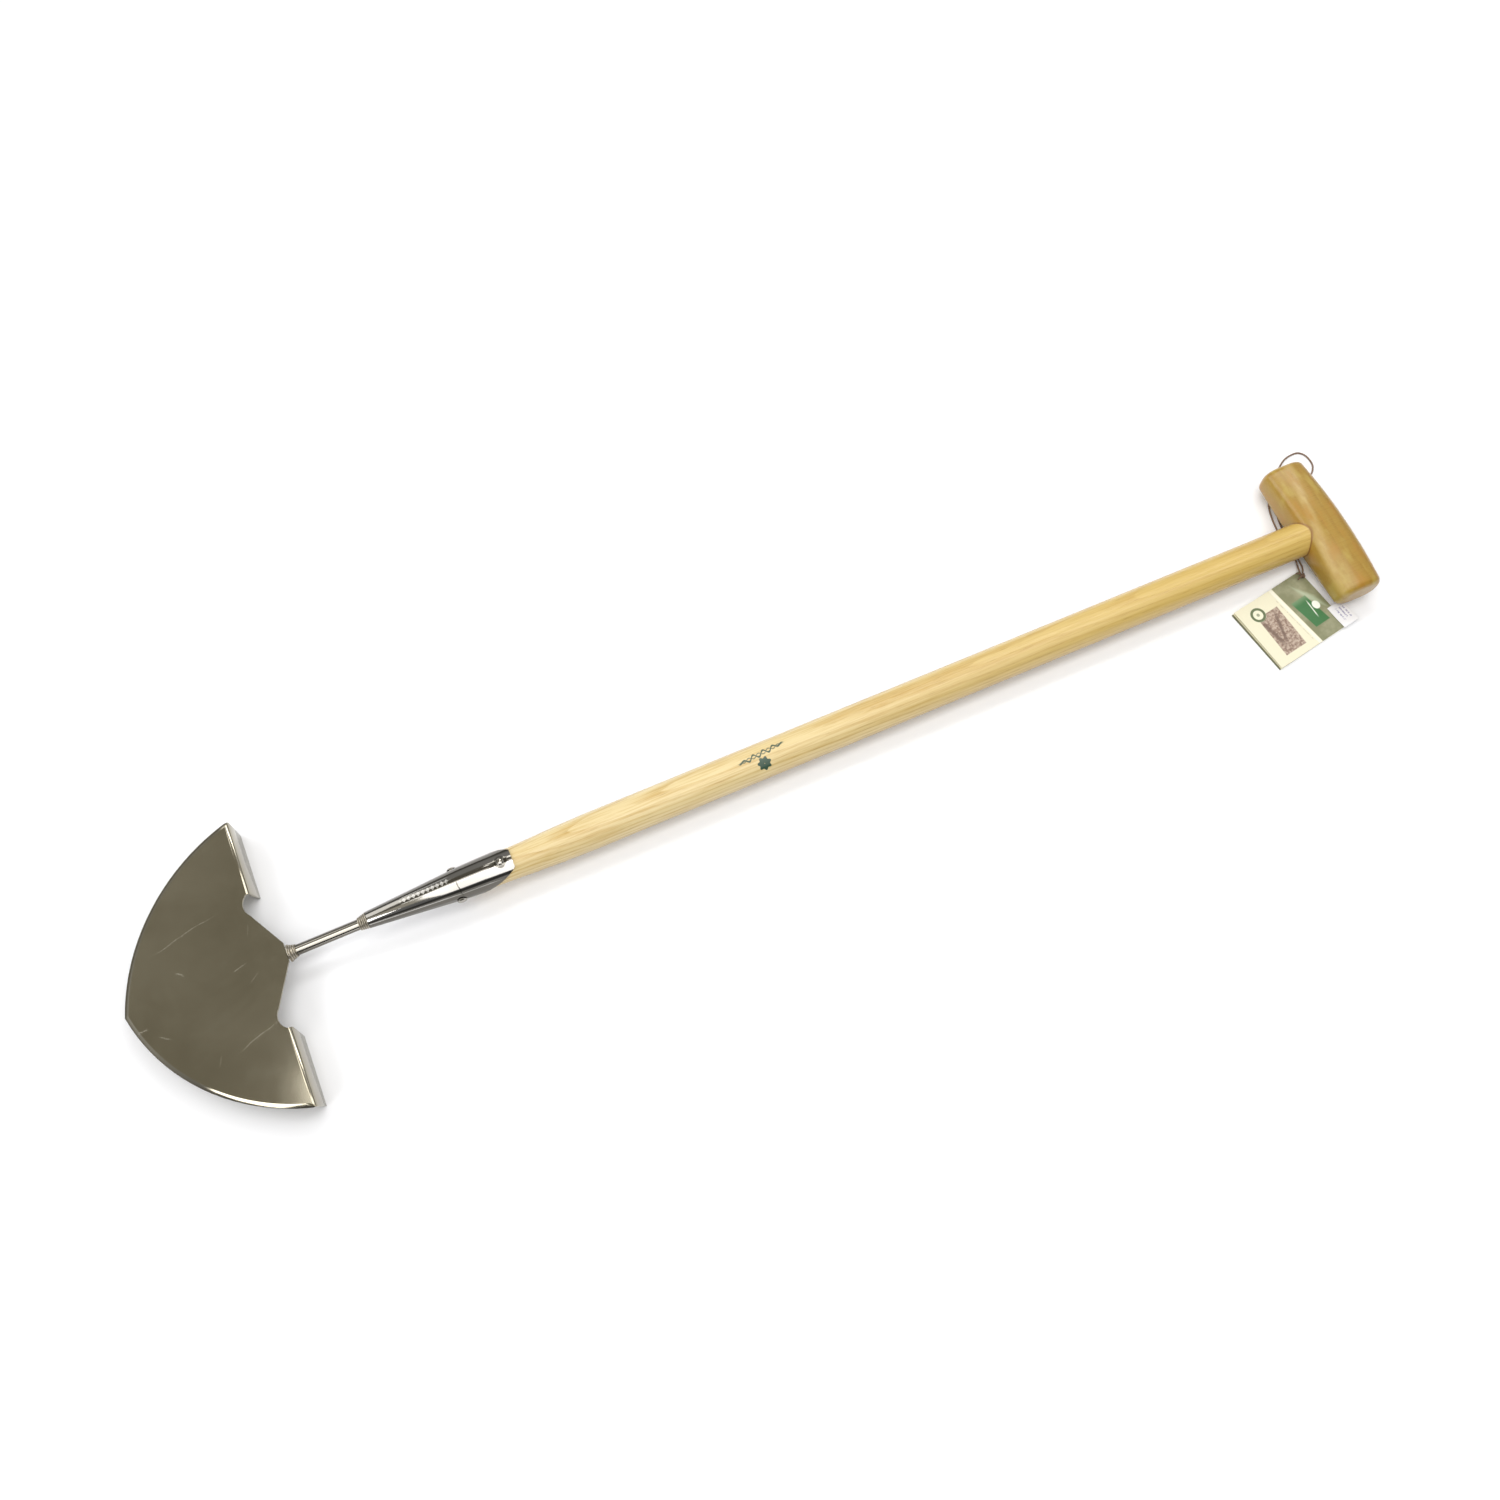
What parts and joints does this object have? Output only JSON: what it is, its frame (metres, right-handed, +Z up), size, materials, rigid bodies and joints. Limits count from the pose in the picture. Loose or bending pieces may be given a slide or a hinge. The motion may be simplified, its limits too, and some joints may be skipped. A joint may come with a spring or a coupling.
{
  "type": "half-moon lawn edging iron",
  "caption": "Half-moon lawn edging iron: polished steel blade with folded foot treads, round neck, riveted socket, straight ash shaft and wooden T-grip, with a paper swing tag on a string.",
  "frame": {"origin": "under the middle of the tool, on the surface it lies on, midway between the blade's tip and the grip's outer face", "axes": "+X along the shaft from the blade towards the grip, +Y across the tool along the grip, +Z up, out of the front face of the blade"},
  "size_m": [1.0196, 0.222, 0.033],
  "materials": {
    "blade_steel": "polished stainless steel with fine scratches",
    "rod_steel": "polished stainless steel bar",
    "socket_steel": "mirror polished stainless steel",
    "weld_steel": "polished weld metal",
    "fastener_steel": "bright steel rivet and screw",
    "shaft_ash": "pale ash with long grain, oiled",
    "grip_ash": "golden ash, varnished",
    "tag_card": "printed card, silk",
    "label_paper": "white self-adhesive paper",
    "string_jute": "thin twisted brown string"
  },
  "bodies": {
    "root": {"blade": "blade_steel", "neck_rod": "rod_steel", "peak_weld": "weld_steel", "left_weld_bead": "weld_steel", "right_weld_bead": "weld_steel", "socket": "socket_steel", "socket_weld": "weld_steel", "side_rivet": "fastener_steel", "tongue_screw": "fastener_steel", "shaft": "shaft_ash", "t_grip": "grip_ash", "tag_back_leaf": "tag_card", "tag_inner_leaf": "tag_card", "tag_front_leaf": "tag_card", "price_label": "label_paper", "tag_string": "string_jute", "string_knot": "string_jute"}
  },
  "joints": []
}
